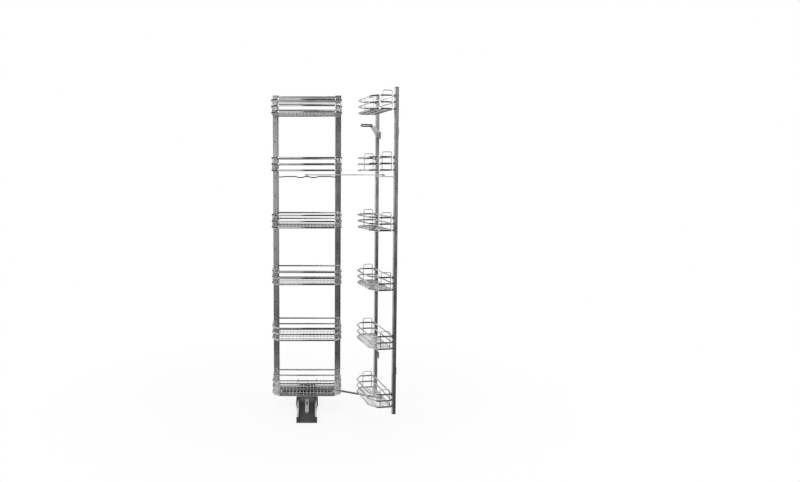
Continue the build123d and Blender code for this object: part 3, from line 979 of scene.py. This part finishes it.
@dataclass
class CatchArm:
    """Flat arm with round ends and a shallow panel in each face."""

    node: str = "catch_arm"
    body: str = "catch_arm"
    radius: float = 8.5 * MM
    run: float = 57.5 * MM
    thickness: float = 6 * MM
    rim: float = 6 * MM
    panel: float = 1.2 * MM
    rounding: float = 0.5 * MM
    sides: int = 32
    place: Vector = field(default_factory=lambda: Vector((174.6, 28.0, 1665.0)) * MM)

    def build(self) -> None:
        """Make the arm, dark outside and bare steel in its panels."""
        half = Vector((self.thickness / 2, 0, 0))
        made = rod(self.radius, -half, half, self.sides)
        made.rotation_euler = (math.pi / self.sides, 0, 0)
        settle(made)
        bpy.ops.object.mode_set(mode="EDIT")
        select_where(made, lambda p: p.y > 0)
        bpy.ops.transform.translate(value=(0, self.run, 0))
        bpy.ops.object.mode_set(mode="OBJECT")
        for side in SIDES:
            sink(made, Vector((side, 0, 0)), self.rim, self.panel)
        soften(made, self.rounding)
        deep = self.thickness / 2 - self.panel * NEARLY_ALL
        panels = [
            face.index
            for face in made.data.polygons
            if abs(face.center.x) < deep and abs(face.normal.x) > NEARLY_ALL
        ]
        made.name = f"{self.node}_pressed"
        made = placed(made, door_turn() @ Matrix.Translation(self.place))
        finish(made, BLACKED_AND_SHADE, self.body, self.node)
        made.data.materials.append(SATIN.material())
        for index in panels:
            made.data.polygons[index].material_index = 1


@dataclass(frozen=True)
class CageRow:
    """Place of four cages: out from the middle, up or down from it, and their rear end."""

    out: float
    rise: float
    rear: float


@dataclass
class BallCages:
    """Strips that hold the slides' balls, with the balls in them."""

    node: str = "ball_cages"
    body: str = "slide_middle"
    width: float = 6 * MM
    sheet: float = 0.8 * MM
    length: float = 180 * MM
    rounding: float = 0.3 * MM
    ball: float = 1.2 * MM
    ball_sides: int = 12
    ball_rings: int = 8
    pitch: float = 12 * MM
    middle_z: float = 21 * MM
    rows: tuple[CageRow, ...] = (
        CageRow(out=53.3 * MM, rise=10.3 * MM, rear=-144.9 * MM),
        CageRow(out=55.8 * MM, rise=14.3 * MM, rear=15.0 * MM),
    )

    def cage(self) -> bpy.types.Object:
        """One strip with its balls, its rear end at Y 0.

        Returns:
            The strip.
        """
        strip = block((self.width, self.length, self.sheet), (0, -self.length / 2, 0))
        deselect()
        bpy.ops.mesh.primitive_uv_sphere_add(
            segments=self.ball_sides,
            ring_count=self.ball_rings,
            radius=self.ball,
            location=(0, -self.pitch / 2, 0),
        )
        ball = settle(bpy.context.object)
        balls = repeat(ball, int(self.length / self.pitch), (0, -self.pitch, 0))
        shade_smooth()
        return join([soften(strip, self.rounding), balls], "cage")

    def build(self) -> None:
        """Make the eight cages as one piece."""
        model = self.cage()
        parts = []
        for row in self.rows:
            for x_side in SIDES:
                for z_side in SIDES:
                    height = self.middle_z + z_side * row.rise
                    shift = Vector((x_side * row.out, row.rear, height))
                    parts.append(copied(model, shift, "cage_copy"))
        bpy.data.objects.remove(model)
        finish(join(parts, f"{self.node}_with_balls"), BRIGHT, self.body, self.node)


def grain_of(node: str) -> Grain:
    """Way that a node's marks run, along its longest side.

    Args:
        node: Name of the node.

    Returns:
        The grain.
    """
    low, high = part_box(node)
    size = [top - bottom for bottom, top in zip(low, high)]
    return (Grain.ACROSS, Grain.INWARD, Grain.UPRIGHT)[size.index(max(size))]


def dress_nodes() -> None:
    """Give each CAD node its surface, with painted shade on the floor plate, foot beam, link beam and lower link.
    """
    for name, node in frame["nodes"].items():
        surface = SHADED_AND_OWN_SURFACES.get(name, SURFACES[SLOTS[name]])
        if surface.metallic:
            surface = surface.along(grain_of(name))
        made = surface.material()
        if not node.material_slots:
            node.data.materials.append(made)
        for place in node.material_slots:
            place.material = made


@dataclass(frozen=True)
class Lamp:
    """One wide, soft lamp."""

    name: str
    place: Triple
    energy: float
    size: float = 2.5


@dataclass(frozen=True)
class Screen:
    """One dark screen, flat unless it is tilted."""

    name: str
    place: Triple
    size: Pair
    tilt: float = 0.0
    turn: float = 0.0


LAMPS = (
    Lamp("key", (-2.6, -3.2, 3.0), energy=60.0),
    Lamp("fill", (3.0, -2.4, 2.0), energy=30.0),
    Lamp("back", (0.0, 2.8, 3.2), energy=30.0),
)
SCREENS = (
    Screen("screen_front", (2.4, -6.5, 1.6), (5.2, 3.4), tilt=QUARTER_TURN),
    Screen("screen_left", (-5.0, 1.2, 1.7), (6.0, 4.0), tilt=QUARTER_TURN, turn=QUARTER_TURN),
    Screen("screen_right", (5.0, 1.2, 1.7), (6.0, 4.0), tilt=QUARTER_TURN, turn=QUARTER_TURN),
    Screen("screen_above", (0.0, -0.6, 4.5), (4.0, 3.0)),
    Screen("screen_below", (0.5, -3.6, 0.01), (6.0, 5.8)),
)


@dataclass
class Studio:
    """Camera, lamps, floor, screens and surroundings."""

    eye: Vector = field(default_factory=lambda: Vector((25.5, -4664.0, 1386.0)) * MM)
    tilt: float = math.radians(5.449)
    focal_pixels: float = 754.6
    centre_pixels: Pair = (311.3, 246.5)
    sensor_width: float = 36.0
    lamp_aim: Triple = (0, -0.2, 0.9)
    floor_size: float = 60.0
    floor_drop: float = 0.5 * MM
    floor_grey: float = 0.95
    floor_roughness: float = 0.9
    fade_reach: Pair = (0.6, 1.8)
    fade_white: Pair = (0.86, 1.0)
    screen_grey: float = 0.05
    sky_strength: float = 0.6

    def build(self) -> None:
        """Make all that lights and shows the object."""
        bpy.context.scene.view_settings.view_transform = "Standard"
        self.camera()
        self.lamps()
        self.floor()
        self.screens()
        self.sky()

    def camera(self) -> None:
        """Camera that stands where the photograph was taken."""
        width, height = FRAME_PIXELS
        data = bpy.data.cameras.new("camera")
        data.sensor_width = self.sensor_width
        data.lens = self.focal_pixels * data.sensor_width / width
        data.shift_x = (width / 2 - self.centre_pixels[0]) / width
        data.shift_y = (self.centre_pixels[1] - height / 2) / width
        camera = bpy.data.objects.new("camera", data)
        camera.location = self.eye
        camera.rotation_euler = (QUARTER_TURN - self.tilt, 0, 0)
        bpy.context.scene.collection.objects.link(camera)
        bpy.context.scene.camera = camera

    def lamps(self) -> None:
        """Lamps that all point at the object."""
        for row in LAMPS:
            data = bpy.data.lights.new(row.name, "AREA")
            data.energy = row.energy
            data.size = row.size
            lamp = bpy.data.objects.new(row.name, data)
            lamp.location = row.place
            aim = Vector(self.lamp_aim) - Vector(row.place)
            lamp.rotation_euler = aim.to_track_quat("-Z", "Y").to_euler()
            bpy.context.scene.collection.objects.link(lamp)

    def floor(self) -> None:
        """Wide pale floor that fades to white away from the object."""
        deselect()
        bpy.ops.mesh.primitive_plane_add(size=self.floor_size, location=(0, 0, -self.floor_drop))
        ground = bpy.context.object
        ground.name = "studio_floor"
        surface, recipe, shader = new_material("studio_floor")
        shader.inputs["Base Color"].default_value = grey(self.floor_grey)
        shader.inputs["Roughness"].default_value = self.floor_roughness
        place = recipe.add("ShaderNodeTexCoord", {}).outputs["Object"]
        reach = recipe.add("ShaderNodeVectorMath", {0: place}, operation="LENGTH").outputs["Value"]
        fade = recipe.ranged(
            reach, self.fade_reach, self.fade_white, interpolation_type="SMOOTHSTEP"
        )
        share = recipe.math("MULTIPLY", fade, recipe.seen())
        white = recipe.add("ShaderNodeEmission", {})
        recipe.show("Material Output", share, shader, white)
        ground.data.materials.append(surface)

    def screens(self) -> None:
        """Dark screens out of sight, for polished metal to mirror."""
        surface, _, shader = new_material("studio_screen")
        shader.inputs["Base Color"].default_value = grey(self.screen_grey)
        for row in SCREENS:
            deselect()
            turn = (row.tilt, 0, row.turn)
            bpy.ops.mesh.primitive_plane_add(size=1.0, location=row.place, rotation=turn)
            screen = bpy.context.object
            screen.scale = (*row.size, 1.0)
            screen.name = row.name
            screen.data.materials.append(surface)
            screen.visible_camera = False
            screen.visible_diffuse = False
            screen.visible_shadow = False
            settle(screen)

    def sky(self) -> None:
        """White surroundings for the eye and for gloss, softer as a light."""
        world = bpy.data.worlds.new("surroundings")
        bpy.context.scene.world = world
        world.use_nodes = True
        recipe = Recipe(world.node_tree)
        soft = world.node_tree.nodes["Background"]
        soft.inputs["Color"].default_value = grey(1.0)
        soft.inputs["Strength"].default_value = self.sky_strength
        white = recipe.add("ShaderNodeBackground", {"Color": grey(1.0)})
        recipe.show("World Output", recipe.seen(), soft, white)


def stacks() -> list[BasketStack]:
    """Both kinds of basket at their places.

    Returns:
        The frame baskets and the door baskets.
    """
    deep_depth, side_post, rear_post, rear_post_y = 312 * MM, 195.0 * MM, 183.8 * MM, 5.1 * MM
    post_shares = (0.30, 0.36, 0.62, 0.68)
    posts = [(side * side_post, share * deep_depth) for side in SIDES for share in post_shares]
    posts += [(side * rear_post, rear_post_y) for side in SIDES]
    deep = BasketShape(
        width=400 * MM,
        depth=deep_depth,
        cut_width=40 * MM,
        cut_depth=65 * MM,
        posts=posts,
        hooks=[189.5 * MM, -181.5 * MM],
        hook_root=3 * MM,
        cross_wires=4,
        loops=False,
    )
    flat = BasketShape(
        width=396 * MM,
        depth=120 * MM,
        cut_width=65 * MM,
        cut_depth=38 * MM,
        posts=[],
        hooks=[side * DOOR_UPRIGHT for side in SIDES],
        hook_root=7 * MM,
        cross_wires=2,
        loops=True,
    )
    deep_back, flat_back = -145.3 * MM, 0.3 * MM
    inner = Matrix.Translation((0, deep_back, 0)) @ Matrix.Rotation(math.pi, 4, "Z")
    outer = door_turn() @ Matrix.Translation((0, flat_back, 0))
    return [
        BasketStack("frame_basket", "inner_frame", deep, inner),
        BasketStack("door_basket", "door_frame", flat, outer),
    ]


def caps() -> list[Caps]:
    """All the plastic caps.

    Returns:
        The caps of the runner and of both frames.
    """
    upward, forward = Vector((0, 0, 1)), Vector((0, -1, 0))
    frame_size, tray_size = (35 * MM, 25 * MM, 4 * MM), (11 * MM, 12 * MM, 31 * MM)
    door_size, door_heights = (25 * MM, 18 * MM, 4 * MM), (91.9 * MM, 1839.1 * MM)
    frame_ends = [(side * 185.5 * MM, -132.5 * MM, 1848.1 * MM) for side in SIDES]
    tray_ends = [(side * 52.6 * MM, -557 * MM, 20.5 * MM) for side in SIDES]
    door_ends = [(side * DOOR_UPRIGHT, -9 * MM, z) for side in SIDES for z in door_heights]
    return [
        Caps("upright_caps", "inner_frame", frame_size, frame_ends, upward),
        Caps("tray_end_caps", "inner_frame", tray_size, tray_ends, forward),
        Caps("door_upright_caps", "door_frame", door_size, door_ends, upward, door_turn()),
    ]


def standing(node: str) -> list[Matrix]:
    """Place of an upright pin, at the middle of its node's underside."""
    low, high = (Vector(corner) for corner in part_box(node))
    return [Matrix.Translation(((low.x + high.x) / 2, (low.y + high.y) / 2, low.z))]


def pins() -> list[Pin]:
    """All the pins, screws and the bolt.

    Returns:
        The turned pieces.
    """
    head, shank, tall = 7 * MM, 4 * MM, 3 * MM
    frame_top, door_top, long_top = 9.5 * MM, 9.6 * MM, 17.6 * MM
    frame_steps = [Step(head, frame_top, frame_top + tall), Step(shank, 0.0, 10 * MM)]
    foot = Step(head, 0.0, tall)
    upper_steps = [Step(head, door_top, door_top + tall), foot, Step(shank, MM, 11 * MM)]
    lower_steps = [foot, Step(head, door_top, long_top), Step(shank, MM, 16 * MM)]
    screw_steps = [Step(4.5 * MM, 0.0, 2.5 * MM)]
    bolt_steps = [Step(9 * MM, 0.0, 4 * MM), Step(5 * MM, MM, 13.6 * MM)]
    screw_x, screw_y, screw_heights = 158.9 * MM, -145.1 * MM, (66.7 * MM, 1828.0 * MM)
    screws = [
        Matrix.Translation((side * screw_x, screw_y, z)) @ Matrix.Rotation(QUARTER_TURN, 4, "X")
        for side in SIDES
        for z in screw_heights
    ]
    bolt_place = Matrix.Translation(Vector((167.3, 28.0, 1665.0)) * MM)
    bolt = bolt_place @ Matrix.Rotation(QUARTER_TURN, 4, "Y")
    return [
        Pin("upper_door_pin", "door_frame", upper_steps, standing("upper_door_pin")),
        Pin("lower_door_pin", "door_frame", lower_steps, standing("lower_door_pin")),
        Pin("upper_frame_pin", "upper_link", frame_steps, standing("upper_frame_pin")),
        Pin("lower_frame_pin", "lower_link", frame_steps, standing("lower_frame_pin")),
        Pin("beam_screws", "inner_frame", screw_steps, screws, socket=2.2 * MM),
        Pin("catch_bolt", "door_frame", bolt_steps, [door_turn() @ bolt]),
    ]


def main() -> None:
    """Build the whole scene in order."""
    logging.basicConfig(level=logging.INFO)
    dress_nodes()
    Studio().build()
    for group in (*stacks(), *caps(), *pins(), CatchArm(), BallCages()):
        group.build()


if __name__ == "__main__":
    main()
